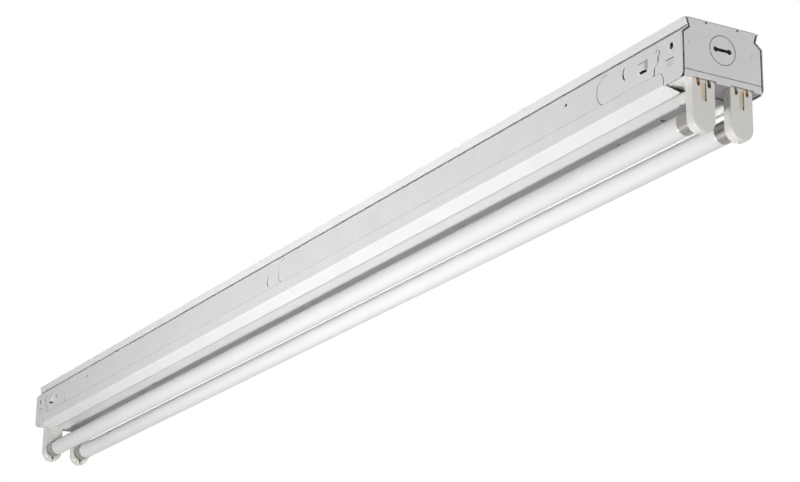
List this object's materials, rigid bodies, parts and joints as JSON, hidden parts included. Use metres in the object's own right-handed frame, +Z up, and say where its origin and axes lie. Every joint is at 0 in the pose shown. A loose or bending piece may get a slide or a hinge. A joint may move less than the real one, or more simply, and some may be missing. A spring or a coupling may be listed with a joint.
{
  "type": "strip light",
  "caption": "Bare strip light: long white steel channel with a formed cover, end plates and rotary lampholders that carry thin fluorescent tubes below it.",
  "frame": {"origin": "middle of the channel's flat back, in the plane that lies on the ceiling", "axes": "+X along the lamps, +Y across, +Z up into the ceiling"},
  "size_m": [1.1694, 0.073, 0.0806],
  "materials": {
    "painted_steel": "satin baked white enamel on thin steel",
    "plate_steel": "satin baked white enamel on thin steel",
    "holder_plastic": "warm white moulded plastic",
    "rotor_plastic": "white moulded plastic",
    "bronze": "bright spring bronze",
    "spring_steel": "dull spring strip",
    "lamp_cap": "satin aluminium",
    "lamp_pin": "polished brass",
    "lamp_glass": "glass with a white coating inside",
    "ballast_steel": "white painted can",
    "terminal_plastic": "pale plastic",
    "screw": "zinc plated",
    "ground_screw": "green zinc plated",
    "lead": "soft insulated wire",
    "lead_black": "soft insulated wire",
    "lead_white": "soft insulated wire",
    "lead_green": "soft insulated wire",
    "wire_nut": "moulded plastic",
    "wire_nut_green": "moulded plastic"
  },
  "bodies": {
    "fixture": {"channel": "painted_steel", "channel_cover": "painted_steel", "end_plate_near": "plate_steel", "end_plate_far": "plate_steel", "lampholder_front_near": "holder_plastic", "holder_back_front_near": "holder_plastic", "contacts_front_near": "bronze", "detent_spring_front_near": "spring_steel", "lamp_leads_front_near": "lead", "lampholder_rear_near": "holder_plastic", "holder_back_rear_near": "holder_plastic", "contacts_rear_near": "bronze", "detent_spring_rear_near": "spring_steel", "lamp_leads_rear_near": "lead", "lampholder_front_far": "holder_plastic", "holder_back_front_far": "holder_plastic", "contacts_front_far": "bronze", "detent_spring_front_far": "spring_steel", "lamp_leads_front_far": "lead", "lampholder_rear_far": "holder_plastic", "holder_back_rear_far": "holder_plastic", "contacts_rear_far": "bronze", "detent_spring_rear_far": "spring_steel", "lamp_leads_rear_far": "lead", "ballast_base": "ballast_steel", "ballast_case": "ballast_steel", "ballast_terminals_near": "terminal_plastic", "ballast_terminals_far": "terminal_plastic", "ballast_screws": "screw", "ground_screw": "ground_screw", "ground_terminal": "bronze", "supply_line": "lead_black", "supply_neutral": "lead_white", "ground_lead": "lead_green", "wire_nut_line": "wire_nut", "wire_nut_neutral": "wire_nut", "wire_nut_ground": "wire_nut_green"},
    "lamp_front": {"lamp_tube_front": "lamp_glass", "lamp_cap_front_near": "lamp_cap", "lamp_cap_front_far": "lamp_cap", "lamp_pins_front_near": "lamp_pin", "lamp_pins_front_far": "lamp_pin"},
    "rotor_front_near": {"rotor_front_near": "rotor_plastic"},
    "rotor_front_far": {"rotor_front_far": "rotor_plastic"},
    "lamp_rear": {"lamp_tube_rear": "lamp_glass", "lamp_cap_rear_near": "lamp_cap", "lamp_cap_rear_far": "lamp_cap", "lamp_pins_rear_near": "lamp_pin", "lamp_pins_rear_far": "lamp_pin"},
    "rotor_rear_near": {"rotor_rear_near": "rotor_plastic"},
    "rotor_rear_far": {"rotor_rear_far": "rotor_plastic"}
  },
  "joints": [
    {"name": "lamp_front_turn", "type": "hinge", "parent": "fixture", "child": "lamp_front", "pos_m": [0, -0.0159, -0.0686], "axis": [1, 0, 0], "range_deg": [0, 90]},
    {"name": "rotor_front_near_turn", "type": "hinge", "parent": "fixture", "child": "rotor_front_near", "pos_m": [0.5764, -0.0159, -0.0686], "axis": [1, 0, 0], "range_deg": [0, 90]},
    {"name": "rotor_front_far_turn", "type": "hinge", "parent": "fixture", "child": "rotor_front_far", "pos_m": [-0.5764, -0.0159, -0.0686], "axis": [1, 0, 0], "range_deg": [0, 90]},
    {"name": "lamp_rear_turn", "type": "hinge", "parent": "fixture", "child": "lamp_rear", "pos_m": [0, 0.0159, -0.0686], "axis": [1, 0, 0], "range_deg": [0, 90]},
    {"name": "rotor_rear_near_turn", "type": "hinge", "parent": "fixture", "child": "rotor_rear_near", "pos_m": [0.5764, 0.0159, -0.0686], "axis": [1, 0, 0], "range_deg": [0, 90]},
    {"name": "rotor_rear_far_turn", "type": "hinge", "parent": "fixture", "child": "rotor_rear_far", "pos_m": [-0.5764, 0.0159, -0.0686], "axis": [1, 0, 0], "range_deg": [0, 90]}
  ],
  "couplings": [
    {"joint": "rotor_front_near_turn", "follows": "lamp_front_turn", "ratio": 1},
    {"joint": "rotor_front_far_turn", "follows": "lamp_front_turn", "ratio": 1},
    {"joint": "rotor_rear_near_turn", "follows": "lamp_rear_turn", "ratio": 1},
    {"joint": "rotor_rear_far_turn", "follows": "lamp_rear_turn", "ratio": 1}
  ]
}
